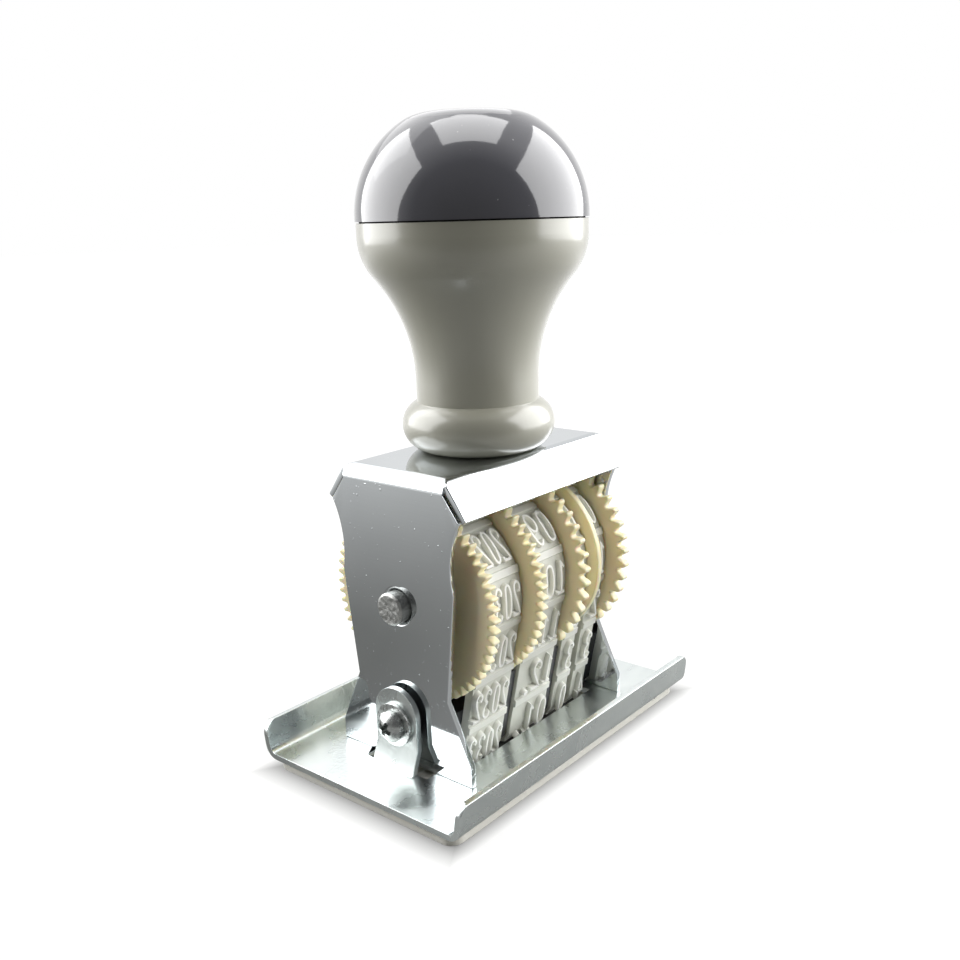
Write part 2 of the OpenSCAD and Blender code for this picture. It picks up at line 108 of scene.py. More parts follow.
def new_piece(name, shape, material, body, slot, *nodes):
    """Turns a finished bmesh into a piece that rides on a body and stands for CAD nodes."""
    piece = mesh_object(name, shape)
    for left_over in ("custom_normal", "sharp_face"):
        if left_over in piece.data.attributes:
            piece.data.attributes.remove(piece.data.attributes[left_over])
    piece.data.materials.clear()
    coat(piece, material)
    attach(piece, body)
    if nodes:
        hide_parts(*nodes)
    return piece


def soft_shading(shape, limit=CREASE):
    """Shades a bmesh smooth, with a crease where two faces meet at more than the limit in degrees."""
    for face in shape.faces:
        face.smooth = True
    for edge in shape.edges:
        if len(edge.link_faces) == 2:
            edge.smooth = edge.calc_face_angle(0) < math.radians(limit)


def eased(node, name, material, body, slot, width, rounds=2, left_sharp=None, reshape=None):
    """A copy of a CAD node, reshaped if wanted, with rounded edges except those left sharp."""
    shape = bmesh.new()
    shape.from_mesh(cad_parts[node].data)
    bmesh.ops.remove_doubles(shape, verts=shape.verts, dist=CAD_WELD)
    bmesh.ops.dissolve_limit(
        shape, angle_limit=math.radians(FLAT_TURN), verts=shape.verts, edges=shape.edges)
    if reshape:
        reshape(shape)
    sharp = [e for e in shape.edges
             if len(e.link_faces) == 2 and e.calc_face_angle(0) > math.radians(SHARP_TURN)
             and not (left_sharp and left_sharp((e.verts[0].co + e.verts[1].co) / 2))]
    bmesh.ops.bevel(
        shape, geom=sharp, offset=width, offset_type="OFFSET", affect="EDGES",
        segments=rounds, profile=0.5, material=-1, clamp_overlap=False)
    bmesh.ops.remove_doubles(shape, verts=shape.verts, dist=SAME_POINT)
    bmesh.ops.triangulate(shape, faces=[f for f in shape.faces if len(f.verts) > 4])
    soft_shading(shape)
    piece = new_piece(name, shape, material, body, slot, node)
    piece.modifiers.new("flat faces stay flat", "WEIGHTED_NORMAL").keep_sharp = True
    return piece


# Natural rubber, calendered: dull, a little uneven in colour, with a chalky grain that is
# drawn coarser than the real one, so that it shows.
rubber, tree, shader, place = start_material("cream_rubber_calendered", Roughness=0.62)
patches = add(tree, "ShaderNodeTexNoise", {"Vector": place, "Scale": 1 / (9 * MM), "Detail": 3.0})
tone = add(tree, "ShaderNodeMix", {
    "Factor": patches.outputs["Fac"],
    FROM_COLOUR: linear("#FFFEF6"), TO_COLOUR: linear("#F8F5EA")}, data_type="RGBA")
tree.links.new(tone.outputs[MIXED_COLOUR], shader.inputs["Base Color"])
grain = add(tree, "ShaderNodeTexNoise", {"Vector": place, "Scale": 1 / (0.35 * MM), "Detail": 2.0})
relief = add(tree, "ShaderNodeBump", {
    "Height": grain.outputs["Fac"], "Strength": 0.25, "Distance": 0.05 * MM})
tree.links.new(relief.outputs["Normal"], shader.inputs["Normal"])
eased("die_sheet", "die_rubber_sheet", rubber, "stamp", "die_rubber", width=0.3 * MM, rounds=3)

# Base plate: zinc plated steel, blanked and folded to a tray with two leaning flanges and
# two screw ears. The plating is bright with grey clouds and crystals drawn large enough to show.
zinc, tree, shader, place = start_material("bright_zinc_plate_folded", Metallic=1.0)
clouds = add(tree, "ShaderNodeTexNoise", {
    "Vector": place, "Scale": 1 / (11 * MM), "Detail": 4.0, "Roughness": 0.6, "Distortion": 0.6})
tone = add(tree, "ShaderNodeMix", {
    "Factor": clouds.outputs["Fac"],
    FROM_COLOUR: linear("#D0D8D9"), TO_COLOUR: linear("#EBEFEC")}, data_type="RGBA")
tree.links.new(tone.outputs[MIXED_COLOUR], shader.inputs["Base Color"])
crystals = add(tree, "ShaderNodeTexVoronoi", {"Vector": place, "Scale": 1 / (0.75 * MM)})
spread = add(tree, "ShaderNodeMapRange", {
    "Value": clouds.outputs["Fac"], "From Min": 0.3, "From Max": 0.7, "To Min": 0.2, "To Max": 0.36})
tree.links.new(spread.outputs["Result"], shader.inputs["Roughness"])
relief = add(tree, "ShaderNodeBump", {
    "Height": crystals.outputs["Distance"], "Strength": 0.3, "Distance": 0.04 * MM})
tree.links.new(relief.outputs["Normal"], shader.inputs["Normal"])
eased("base_plate", "folded_base", zinc, "stamp", "zinc_steel", width=0.14 * MM)

# Base screws and washers: pan head screws with a cross recess, pressed and zinc plated,
# each with a stamped washer, driven through the ear and the side plate into the platen.
fastener, tree, shader, place = start_material("zinc_plated_fastener_pressed", Metallic=1.0)
scuffs = add(tree, "ShaderNodeTexNoise", {"Vector": place, "Scale": 1 / (0.9 * MM), "Detail": 4.0})
tone = add(tree, "ShaderNodeMix", {
    "Factor": scuffs.outputs["Fac"],
    FROM_COLOUR: linear("#9C9F9F"), TO_COLOUR: linear("#D9DCDA")}, data_type="RGBA")
tree.links.new(tone.outputs[MIXED_COLOUR], shader.inputs["Base Color"])
spread = add(tree, "ShaderNodeMapRange", {
    "Value": scuffs.outputs["Fac"], "From Min": 0.3, "From Max": 0.7, "To Min": 0.18, "To Max": 0.36})
tree.links.new(spread.outputs["Result"], shader.inputs["Roughness"])
relief = add(tree, "ShaderNodeBump", {
    "Height": scuffs.outputs["Fac"], "Strength": 0.25, "Distance": 0.08 * MM})
tree.links.new(relief.outputs["Normal"], shader.inputs["Normal"])
eased("screw_washers", "stamped_washers", fastener, "stamp", "screw_steel", width=0.12 * MM)


def turned(profile, centre, along, steps=64):
    """Spins a line of (distance along, radius) points about a level axis into a closed solid."""
    shape = bmesh.new()
    upward = Vector((0, 0, 1))
    points = [shape.verts.new(centre + along * a + upward * r) for a, r in profile]
    line = [shape.edges.new(pair) for pair in zip(points, points[1:])]
    bmesh.ops.spin(
        shape, geom=points + line, cent=centre, axis=along, angle=2 * math.pi,
        steps=steps, use_merge=True)
    bmesh.ops.remove_doubles(shape, verts=shape.verts, dist=SAME_POINT)
    bmesh.ops.recalc_face_normals(shape, faces=shape.faces)
    return shape


screw_low, screw_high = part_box("base_screws")
washer_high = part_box("screw_washers")[1]
SCREW_HEAD = 2.85 * MM
SCREW_Z = (screw_high.z + screw_low.z) / 2
HEAD_HEIGHT = screw_high.x - washer_high.x
DOME_HEIGHT = 1.3 * MM
DOME_STEPS = 12
HEAD_BREAK = 0.15 * MM
HEAD_LIFT = 0.12 * MM
SHANK = 1.75 * MM
SHANK_TIP = 0.7 * SHANK
SHANK_LENGTH = 12 * MM
TIP_LENGTH = 1.2 * MM
RECESS_WIDTH = 1.15 * MM
RECESS_SPAN = 4.3 * MM
RECESS_DEPTH = 1.6 * MM
RECESS_TAPER = (1, 0.7, 0.4)
RECESS_TURNS = (22, 112)
SCREW_CREASE = 28
dome_curve = (SCREW_HEAD ** 2 + DOME_HEIGHT ** 2) / (2 * DOME_HEIGHT)
screw_line = [
    (-SHANK_LENGTH, 0.0), (-SHANK_LENGTH, SHANK_TIP), (-SHANK_LENGTH + TIP_LENGTH, SHANK),
    (0.0, SHANK), (0.0, SCREW_HEAD - HEAD_BREAK), (HEAD_LIFT, SCREW_HEAD)]
for step in range(DOME_STEPS + 1):
    radius = SCREW_HEAD * math.cos(math.pi / 2 * step / DOME_STEPS)
    rise = math.sqrt(dome_curve ** 2 - radius ** 2) - (dome_curve - HEAD_HEIGHT)
    screw_line.append((rise, radius))
both = bmesh.new()
for end in (-1, 1):
    outward = Vector((end, 0, 0))
    seat = Vector((end * washer_high.x, 0, SCREW_Z))
    blank = mesh_object("screw_blank", turned(screw_line, seat, outward))
    cutters = []
    for turn in RECESS_TURNS:
        cut = bmesh.new()
        bmesh.ops.create_cube(cut, size=1.0)
        bmesh.ops.scale(cut, vec=(2 * RECESS_DEPTH, RECESS_WIDTH, RECESS_SPAN), verts=cut.verts)
        inner_end = [v for v in cut.verts if v.co.x * end < 0]
        bmesh.ops.scale(cut, vec=RECESS_TAPER, verts=inner_end)
        bmesh.ops.rotate(cut, verts=cut.verts, matrix=Matrix.Rotation(math.radians(turn), 3, "X"))
        bmesh.ops.translate(cut, vec=seat + outward * HEAD_HEIGHT, verts=cut.verts)
        cutters.append(mesh_object("recess_cutter", cut))
        removal = blank.modifiers.new("recess", "BOOLEAN")
        removal.operation = "DIFFERENCE"
        removal.object = cutters[-1]
    bpy.context.view_layer.update()
    both.from_mesh(blank.evaluated_get(bpy.context.evaluated_depsgraph_get()).to_mesh())
    for spare in cutters + [blank]:
        bpy.data.objects.remove(spare)
soft_shading(both, SCREW_CREASE)
new_piece("cross_recess_screws", both, fastener, "stamp", "screw_steel", "base_screws")

# Yoke: bright nickel plated steel folded to a top plate, two lips and two side plates.
# The plate is polished, so it mirrors what stands near it. Its rolling lines and few pits are
# drawn coarser than real ones, so that they show.
nickel, tree, shader, place = start_material("nickel_plate_polished", Metallic=1.0)
rolled = add(tree, "ShaderNodeMapping", {"Vector": place, "Scale": (1.0, 0.03, 1.0)})
lines = add(tree, "ShaderNodeTexNoise", {
    "Vector": rolled.outputs["Vector"], "Scale": 1 / (0.4 * MM), "Detail": 3.0})
haze = add(tree, "ShaderNodeTexNoise", {"Vector": place, "Scale": 1 / (14 * MM), "Detail": 2.0})
tone = add(tree, "ShaderNodeMix", {
    "Factor": haze.outputs["Fac"],
    FROM_COLOUR: linear("#C6CACD"), TO_COLOUR: linear("#D1D5D7")}, data_type="RGBA")
tree.links.new(tone.outputs[MIXED_COLOUR], shader.inputs["Base Color"])
spread = add(tree, "ShaderNodeMapRange", {
    "Value": lines.outputs["Fac"], "From Min": 0.3, "From Max": 0.7, "To Min": 0.035, "To Max": 0.075})
tree.links.new(spread.outputs["Result"], shader.inputs["Roughness"])
pits = add(tree, "ShaderNodeTexNoise", {"Vector": place, "Scale": 1 / (0.55 * MM), "Detail": 0.0})
pits = add(tree, "ShaderNodeMapRange", {
    "Value": pits.outputs["Fac"], "From Min": 0.81, "From Max": 0.87})
lines_relief = add(tree, "ShaderNodeBump", {
    "Height": lines.outputs["Fac"], "Strength": 0.09, "Distance": 0.02 * MM})
relief = add(tree, "ShaderNodeBump", {
    "Height": pits.outputs["Result"], "Strength": 0.4, "Distance": 0.05 * MM,
    "Normal": lines_relief.outputs["Normal"]})
tree.links.new(relief.outputs["Normal"], shader.inputs["Normal"])
yoke_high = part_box("yoke")[1]
CORNER_X = yoke_high.x - 3 * MM
CORNER_Y = 8 * MM
CORNER_Z = yoke_high.z - 3.5 * MM
FOLD_ROUND = 2.5 * MM
FOLD_STEPS = 8
LIP_TURN = math.asin(0.8)
FOLD_REACH = FOLD_ROUND * math.sin(LIP_TURN)
FOLD_X = yoke_high.x - FOLD_ROUND
FOLD_Y = 10.5 * MM
FOLD_Z = yoke_high.z - FOLD_ROUND
FOLD_END_Y = FOLD_Y + FOLD_REACH
FOLD_END_Z = FOLD_Z + FOLD_ROUND * math.cos(LIP_TURN)
FACES_ALONG = 0.9
WELD = 0.01 * MM
SNAP = 0.06 * MM


def at_slit(middle):
    """True in the slits at the corners of the top plate, which stay as they were cut."""
    return abs(middle.x) > CORNER_X and abs(middle.y) > CORNER_Y and middle.z > CORNER_Z


def fold_height(x, y):
    """Height of the outer skin where the top plate rounds down to its sides and lips."""
    reach = max(abs(x) - FOLD_X, abs(y) - FOLD_Y, 0.0)
    return FOLD_Z + math.sqrt(FOLD_ROUND ** 2 - reach ** 2)


def take_off_border(shape):
    """Cuts the top skin along the start and end of its folds and takes off what lies between."""
    upward = Vector((0, 0, 1))
    cuts = []
    for side in (-1, 1):
        lip_outward = Vector((0, side * math.sin(LIP_TURN), math.cos(LIP_TURN)))
        cuts.append((Vector((0, side * FOLD_END_Y, 0)), Vector((0, 1, 0)), lip_outward))
    for side in (-1, 1):
        outward = Vector((side, 0, 0))
        cuts.append((Vector((0, 0, FOLD_END_Z)), upward, outward))
        cuts.append((outward * FOLD_X, outward, upward))
    for place, across, facing in cuts:
        faces = [f for f in shape.faces if f.normal.dot(facing) > FACES_ALONG]
        faces = [f for f in faces if max(v.co.z for v in f.verts) > FOLD_END_Z - SNAP]
        edges = list(dict.fromkeys(e for f in faces for e in f.edges))
        verts = list(dict.fromkeys(v for f in faces for v in f.verts))
        bmesh.ops.bisect_plane(
            shape, geom=verts + edges + faces, dist=SNAP / 2, plane_co=place, plane_no=across)
        for vert in shape.verts:
            if max(abs(abs(vert.co.y) - FOLD_END_Y), abs(vert.co.z - FOLD_END_Z)) < SNAP:
                vert.co.y = math.copysign(FOLD_END_Y, vert.co.y)
                vert.co.z = FOLD_END_Z
    high = [f for f in shape.faces if min(v.co.z for v in f.verts) > FOLD_END_Z - SNAP]
    middles = [f.calc_center_bounds() for f in high]
    border = [f for f, m in zip(high, middles) if abs(m.x) > FOLD_X or abs(m.y) > FOLD_Y]
    bmesh.ops.delete(shape, geom=border, context="FACES")


def round_folds(shape):
    """Swaps the border of the top skin, which has a small step in the CAD, for a rounded one."""
    take_off_border(shape)
    side_tops = [
        v for v in shape.verts if abs(v.co.x) > yoke_high.x - WELD and v.co.z > FOLD_Z - WELD]
    slit = max(abs(v.co.y) for v in side_tops)
    steps = [FOLD_ROUND * math.sin(LIP_TURN * step / FOLD_STEPS) for step in range(FOLD_STEPS + 1)]
    half_across = [FOLD_X + step for step in steps]
    half_along = sorted([FOLD_Y + step for step in steps if abs(FOLD_Y + step - slit) > SNAP] + [slit])
    across = [-x for x in reversed(half_across)] + half_across
    along = [-y for y in reversed(half_along)] + half_along
    for axis, places in ((0, across), (1, along)):
        for place in places:
            for edge in [e for e in shape.edges if e.is_boundary]:
                first, last = (v.co[axis] - place for v in edge.verts)
                if min(first, last) < -WELD and max(first, last) > WELD:
                    bmesh.utils.edge_split(edge, edge.verts[0], first / (first - last))
    cells = len(across) - 1, len(along) - 1
    skin = bmesh.ops.create_grid(shape, x_segments=cells[0], y_segments=cells[1], size=0.5)["verts"]
    for vert in skin:
        x = across[round((vert.co.x + 0.5) * cells[0])]
        y = along[round((vert.co.y + 0.5) * cells[1])]
        vert.co = (x, y, fold_height(x, y))
    flat = [v for v in skin if abs(v.co.x) < FOLD_X + WELD and abs(v.co.y) < FOLD_Y + WELD]
    middle = [f for f in flat[0].link_faces if all(v in flat for v in f.verts)]
    bmesh.ops.delete(shape, geom=middle, context="FACES_ONLY")
    bmesh.ops.remove_doubles(shape, verts=shape.verts, dist=WELD)


eased("yoke", "folded_yoke", nickel, "stamp", "yoke_plate", width=0.22 * MM,
      left_sharp=at_slit, reshape=round_folds)

# Platen: a dark moulded bar across the yoke that presses the bands on the paper. It is matt,
# with an eroded mould texture that is drawn coarser than the real one.
platen, tree, shader, place = start_material(
    "dark_polypropylene_moulded", Base_Color=linear("#3A3B3C"), Roughness=0.5)
erosion = add(tree, "ShaderNodeTexNoise", {"Vector": place, "Scale": 1 / (0.25 * MM), "Detail": 2.0})
relief = add(tree, "ShaderNodeBump", {
    "Height": erosion.outputs["Fac"], "Strength": 0.2, "Distance": 0.04 * MM})
tree.links.new(relief.outputs["Normal"], shader.inputs["Normal"])
coat(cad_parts["platen"], platen)

# Wheel axle: a drawn steel pin through both side plates. Its ends were sheared, so they
# are torn and grainy, while the round side is smooth.
pin, tree, shader, place = start_material("drawn_steel_sheared", Metallic=1.0)
torn = add(tree, "ShaderNodeTexNoise", {
    "Vector": place, "Scale": 1 / (0.5 * MM), "Detail": 6.0, "Roughness": 0.7})
tone = add(tree, "ShaderNodeMix", {
    "Factor": torn.outputs["Fac"],
    FROM_COLOUR: linear("#6F706F"), TO_COLOUR: linear("#D0D1CE")}, data_type="RGBA")
tree.links.new(tone.outputs[MIXED_COLOUR], shader.inputs["Base Color"])
spread = add(tree, "ShaderNodeMapRange", {
    "Value": torn.outputs["Fac"], "From Min": 0.3, "From Max": 0.7, "To Min": 0.25, "To Max": 0.5})
tree.links.new(spread.outputs["Result"], shader.inputs["Roughness"])
relief = add(tree, "ShaderNodeBump", {
    "Height": torn.outputs["Fac"], "Strength": 0.5, "Distance": 0.15 * MM})
tree.links.new(relief.outputs["Normal"], shader.inputs["Normal"])
axle_low, axle_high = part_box("wheel_axle")
AXLE_RADIUS = (axle_high.y - axle_low.y) / 2
AXLE_Z = (axle_high.z + axle_low.z) / 2
AXLE_HALF = axle_high.x
AXLE_CREASE = 35
TEAR = 0.12 * MM
TEAR_SIZE = 0.7 * MM
END_BREAK = 0.4 * MM
end_rings = [r * MM for r in (0.0, 0.35, 0.7, 1.05, 1.4, 1.75, 2.1, 2.4, 2.62)]
pin_line = [(-AXLE_HALF + TEAR, r) for r in end_rings]
pin_line += [(-AXLE_HALF + END_BREAK, AXLE_RADIUS), (AXLE_HALF - END_BREAK, AXLE_RADIUS)]
pin_line += [(AXLE_HALF - TEAR, r) for r in reversed(end_rings)]
shape = turned(pin_line, Vector((0, 0, AXLE_Z)), Vector((1, 0, 0)))
for vert in shape.verts:
    if abs(vert.co.x) > AXLE_HALF - END_BREAK / 2:
        vert.co.x += TEAR * noise.noise(vert.co / TEAR_SIZE)
soft_shading(shape, AXLE_CREASE)
new_piece("sheared_axle", shape, pin, "stamp", "axle_steel", "wheel_axle")

# Wheels, spacer and separator: ivory polystyrene, injection moulded. Thin parts let some
# light through, and the teeth have soft corners from the mould.
ivory, tree, shader, place = start_material(
    "ivory_polystyrene_moulded", Roughness=0.36, IOR=1.55, Subsurface_Weight=0.5,
    Subsurface_Scale=1.2 * MM, Subsurface_Radius=(1.0, 0.7, 0.3))
flow = add(tree, "ShaderNodeTexNoise", {"Vector": place, "Scale": 1 / (12 * MM), "Detail": 2.0})
tone = add(tree, "ShaderNodeMix", {
    "Factor": flow.outputs["Fac"],
    FROM_COLOUR: linear("#FCF2D1"), TO_COLOUR: linear("#F4E8BF")}, data_type="RGBA")
tree.links.new(tone.outputs[MIXED_COLOUR], shader.inputs["Base Color"])
skin = add(tree, "ShaderNodeTexNoise", {"Vector": place, "Scale": 1 / (0.6 * MM), "Detail": 2.0})
relief = add(tree, "ShaderNodeBump", {
    "Height": skin.outputs["Fac"], "Strength": 0.08, "Distance": 0.04 * MM})
tree.links.new(relief.outputs["Normal"], shader.inputs["Normal"])
FINE_TEETH = 60
FINE_DEPTH = 1.4 * MM
COARSE_TEETH = 42
COARSE_DEPTH = 1.7 * MM
RIM_WIDE = 2 * MM
EDGE_ROUND = 0.5 * MM
EDGE_STEPS = 5
TIP_ROUND = 0.34 * MM
TOOTH_STEPS = 14
TOOTH_SQUARE = 1.2
TOOTH_TAPER = 0.6
ROOT_MARGIN = 0.1 * MM
TUBE_STEPS = 96
MOULDED_CREASE = 45
WHEEL_PLAY = 0.05 * MM
WHEEL_BORE = AXLE_RADIUS + WHEEL_PLAY
HUB_RADIUS = 5.5 * MM
DRUM_RADIUS = 12.9 * MM
DRUM_WALL = 1.8 * MM


def join(shape, other):
    """Adds the second bmesh to the first."""
    spare = bpy.data.meshes.new("joined")
    other.to_mesh(spare)
    other.free()
    shape.from_mesh(spare)
    bpy.data.meshes.remove(spare)


def tube(start, end, inner, outer):
    """A plain tube about the axle."""
    line = [(start, inner), (start, outer), (end, outer), (end, inner), (start, inner)]
    return turned(line, Vector((0, 0, AXLE_Z)), Vector((1, 0, 0)), TUBE_STEPS)


def toothed_wheel(node, name, teeth, depth, body, rim_last=False):
    """A wheel in place of the CAD one: a rim with rounded teeth, a hollow drum and a hub."""
    low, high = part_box(node)
    tip = (high.z - low.z) / 2
    rim = high.x - RIM_WIDE if rim_last else low.x
    root = tip - TIP_ROUND - depth - ROOT_MARGIN
    line = [(0.0, WHEEL_BORE), (0.0, root)]
    for step in range(EDGE_STEPS + 1):
        turn = math.pi / 2 * step / EDGE_STEPS
        line.append((EDGE_ROUND * (1 - math.cos(turn)), tip - TIP_ROUND * (1 - math.sin(turn))))
    line += [(RIM_WIDE - x, r) for x, r in reversed(line)] + [(0.0, WHEEL_BORE)]
    shape = turned(line, Vector((rim, 0, AXLE_Z)), Vector((1, 0, 0)), teeth * TOOTH_STEPS)
    for vert in shape.verts:
        radius = math.hypot(vert.co.y, vert.co.z - AXLE_Z)
        inset = (tip - radius) / TIP_ROUND
        if radius > root + ROOT_MARGIN:
            wave = math.cos(teeth * math.atan2(vert.co.y, vert.co.z - AXLE_Z))
            squared = math.tanh(TOOTH_SQUARE * wave) / math.tanh(TOOTH_SQUARE)
            height = (0.5 + 0.5 * squared) ** (1 + TOOTH_TAPER * inset)
            pull = (radius - depth * (1 - height)) / radius
            vert.co.y *= pull
            vert.co.z = AXLE_Z + (vert.co.z - AXLE_Z) * pull
    near, far = (low.x, rim) if rim_last else (rim + RIM_WIDE, high.x)
    join(shape, tube(near, far, DRUM_RADIUS - DRUM_WALL, DRUM_RADIUS))
    join(shape, tube(near, far, WHEEL_BORE, HUB_RADIUS))
    soft_shading(shape, MOULDED_CREASE)
    new_piece(name, shape, ivory, body, "wheel_plastic", node)


toothed_wheel("year_wheel", "year_toothed_wheel", FINE_TEETH, FINE_DEPTH, "year_setter")
toothed_wheel("month_wheel", "month_toothed_wheel", FINE_TEETH, FINE_DEPTH, "month_setter")
toothed_wheel("day_tens_wheel", "day_tens_toothed_wheel", COARSE_TEETH, COARSE_DEPTH, "day_tens_setter")
toothed_wheel("day_units_wheel", "day_units_toothed_wheel", COARSE_TEETH, COARSE_DEPTH,
              "day_units_setter", rim_last=True)
eased("separator_disc", "band_separator", ivory, "stamp", "wheel_plastic", width=0.3 * MM, rounds=3)
coat(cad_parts["axle_spacer"], ivory)

# Printing bands: grey white rubber belts, moulded flat and joined to loops that run over
# the wheels and under the platen. The smooth belt itself is the CAD piece.
belt, tree, shader, place = start_material(
    "grey_white_rubber_moulded", Roughness=0.42, Subsurface_Weight=0.25,
    Subsurface_Scale=0.8 * MM, Subsurface_Radius=(1.0, 1.0, 0.9))
dust = add(tree, "ShaderNodeTexNoise", {"Vector": place, "Scale": 1 / (3 * MM), "Detail": 4.0})
tone = add(tree, "ShaderNodeMix", {
    "Factor": dust.outputs["Fac"],
    FROM_COLOUR: linear("#E3E4DA"), TO_COLOUR: linear("#D3D4CA")}, data_type="RGBA")
# Painted highlight: the raised figures turn near white toward their crests.
crest = add(tree, "ShaderNodeAttribute", attribute_name="crest")
tone = add(tree, "ShaderNodeMix", {
    "Factor": crest.outputs["Fac"],
    FROM_COLOUR: tone.outputs[MIXED_COLOUR], TO_COLOUR: linear("#FCFCF6")}, data_type="RGBA")
tree.links.new(tone.outputs[MIXED_COLOUR], shader.inputs["Base Color"])
skin = add(tree, "ShaderNodeTexNoise", {"Vector": place, "Scale": 1 / (0.4 * MM), "Detail": 2.0})
relief = add(tree, "ShaderNodeBump", {
    "Height": skin.outputs["Fac"], "Strength": 0.12, "Distance": 0.04 * MM})
tree.links.new(relief.outputs["Normal"], shader.inputs["Normal"])
BANDS = ("year_band", "month_band", "day_tens_band", "day_units_band")
for node in BANDS:
    coat(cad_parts[node], belt)

# Raised figures: mirrored numerals and cross pads moulded on the bands. Each numeral is a thin
# ridge with sloping sides and a painted highlight on top, drawn flat and then laid round the belt's
# path.
BELT_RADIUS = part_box("year_band")[1].y
TURN_RADIUS = 3 * MM
TURN_HALF = 6 * MM
TURN_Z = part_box("year_band")[0].z + TURN_RADIUS
turn_drop = AXLE_Z - TURN_Z
centre_gap = math.hypot(TURN_HALF, turn_drop)
run_lean = math.asin((TURN_RADIUS - BELT_RADIUS) / centre_gap) + math.atan2(TURN_HALF, turn_drop)
wheel_turn = math.pi / 2 - run_lean
wheel_arc = BELT_RADIUS * wheel_turn
run_length = math.sqrt(centre_gap ** 2 - (BELT_RADIUS - TURN_RADIUS) ** 2)
turn_arc = TURN_RADIUS * (math.pi - wheel_turn)
half_path = wheel_arc + run_length + turn_arc + TURN_HALF


def on_belt(across, along, height):
    """Place of a point that lies across the belt, along its path from the top, and above it."""
    along %= 2 * half_path
    side = -1.0
    if along > half_path:
        along = 2 * half_path - along
        side = 1.0
    if along < wheel_arc:
        angle = along / BELT_RADIUS
        reach = BELT_RADIUS + height
        y, z = reach * math.sin(angle), AXLE_Z + reach * math.cos(angle)
    elif along < wheel_arc + run_length:
        down = along - wheel_arc
        reach = BELT_RADIUS + height
        y = reach * math.cos(run_lean) + down * math.sin(run_lean)
        z = AXLE_Z + reach * math.sin(run_lean) - down * math.cos(run_lean)
    elif along < half_path - TURN_HALF:
        angle = wheel_turn + (along - wheel_arc - run_length) / TURN_RADIUS
        reach = TURN_RADIUS + height
        y, z = TURN_HALF + reach * math.sin(angle), TURN_Z + reach * math.cos(angle)
    else:
        y, z = half_path - along, TURN_Z - TURN_RADIUS - height
    return Vector((across, side * y, z))


def smooth_line(points, closed=False, per_piece=5):
    """Draws a smooth line through a few points."""
    count = len(points)
    drawn = []
    for i in range(count if closed else count - 1):
        if closed:
            p = [Vector(points[(i + k) % count]) for k in (-1, 0, 1, 2)]
        else:
            p = [Vector(points[min(max(i + k, 0), count - 1)]) for k in (-1, 0, 1, 2)]
        for step in range(per_piece):
            t = step / per_piece
            drawn.append(0.5 * (
                2 * p[1] + (p[2] - p[0]) * t + (2 * p[0] - 5 * p[1] + 4 * p[2] - p[3]) * t ** 2
                + (3 * p[1] - p[0] - 3 * p[2] + p[3]) * t ** 3))
    return drawn if closed else drawn + [Vector(points[-1])]


def straight_line(points, per_piece=6):
    """Draws straight strokes in short steps, so that they can bend round the belt."""
    drawn = []
    for a, b in zip(points, points[1:]):
        drawn += [Vector(a).lerp(Vector(b), step / per_piece) for step in range(per_piece)]
    return drawn + [Vector(points[-1])]


six = [(0.82, 0.86), (0.6, 1.0), (0.33, 0.93), (0.15, 0.62), (0.13, 0.28), (0.32, 0.02),
       (0.66, 0.0), (0.88, 0.2), (0.84, 0.44), (0.6, 0.57), (0.32, 0.5), (0.15, 0.3)]
eight = [(0.5, 0.54), (0.2, 0.68), (0.2, 0.9), (0.5, 1.0), (0.8, 0.9), (0.8, 0.68), (0.5, 0.54),
         (0.15, 0.36), (0.14, 0.12), (0.5, 0.0), (0.86, 0.12), (0.85, 0.36)]
oval = [(0.16, 0.3), (0.16, 0.5), (0.16, 0.7), (0.26, 0.93), (0.5, 1.0), (0.74, 0.93),
        (0.84, 0.7), (0.84, 0.5), (0.84, 0.3), (0.74, 0.07), (0.5, 0.0), (0.26, 0.07)]
NUMERALS = {
    "0": [(smooth_line(oval, closed=True, per_piece=3), True)],
    "1": [(straight_line([(0.25, 0.8), (0.55, 1.0), (0.55, 0.0)], per_piece=8), False),
          (straight_line([(0.2, 0.0), (0.9, 0.0)]), False)],
    "2": [(smooth_line([(0.34, 0.72), (0.2, 0.74), (0.16, 0.88), (0.4, 1.0), (0.72, 0.96),
                        (0.86, 0.82), (0.78, 0.62), (0.5, 0.36), (0.26, 0.14), (0.1, 0.0)]), False),
          (straight_line([(0.1, 0.0), (0.92, 0.0), (0.94, 0.1)]), False)],
    "3": [(smooth_line([(0.26, 0.78), (0.14, 0.86), (0.34, 0.99), (0.64, 0.98), (0.84, 0.82),
                        (0.74, 0.62), (0.45, 0.54)]), False),
          (smooth_line([(0.45, 0.54), (0.76, 0.46), (0.88, 0.22), (0.66, 0.02), (0.32, 0.0),
                        (0.12, 0.13), (0.26, 0.2)]), False)],
    "4": [(straight_line([(0.68, 0.0), (0.68, 1.0), (0.06, 0.28), (0.96, 0.28)], per_piece=8), False)],
    "5": [(straight_line([(0.86, 1.0), (0.24, 1.0), (0.2, 0.56)]), False),
          (smooth_line([(0.2, 0.56), (0.5, 0.63), (0.84, 0.48), (0.87, 0.2), (0.62, 0.0),
                        (0.3, 0.02), (0.12, 0.16)]), False)],
    "6": [(smooth_line(six), False)],
    "7": [(straight_line([(0.1, 0.88), (0.1, 1.0), (0.9, 1.0)]), False),
          (smooth_line([(0.9, 1.0), (0.62, 0.6), (0.42, 0.0)], per_piece=8), False)],
    "8": [(smooth_line(eight, closed=True, per_piece=4), True)],
    "9": [(smooth_line([(1 - x, 1 - y) for x, y in six]), False)],
    ".": [(smooth_line([(0.35, 0.0), (0.5, 0.06), (0.65, 0.0), (0.5, -0.06)],
                       closed=True, per_piece=2), True)],
}
FIGURE_TALL = 5.9 * MM
FIGURE_RISE = 0.95 * MM
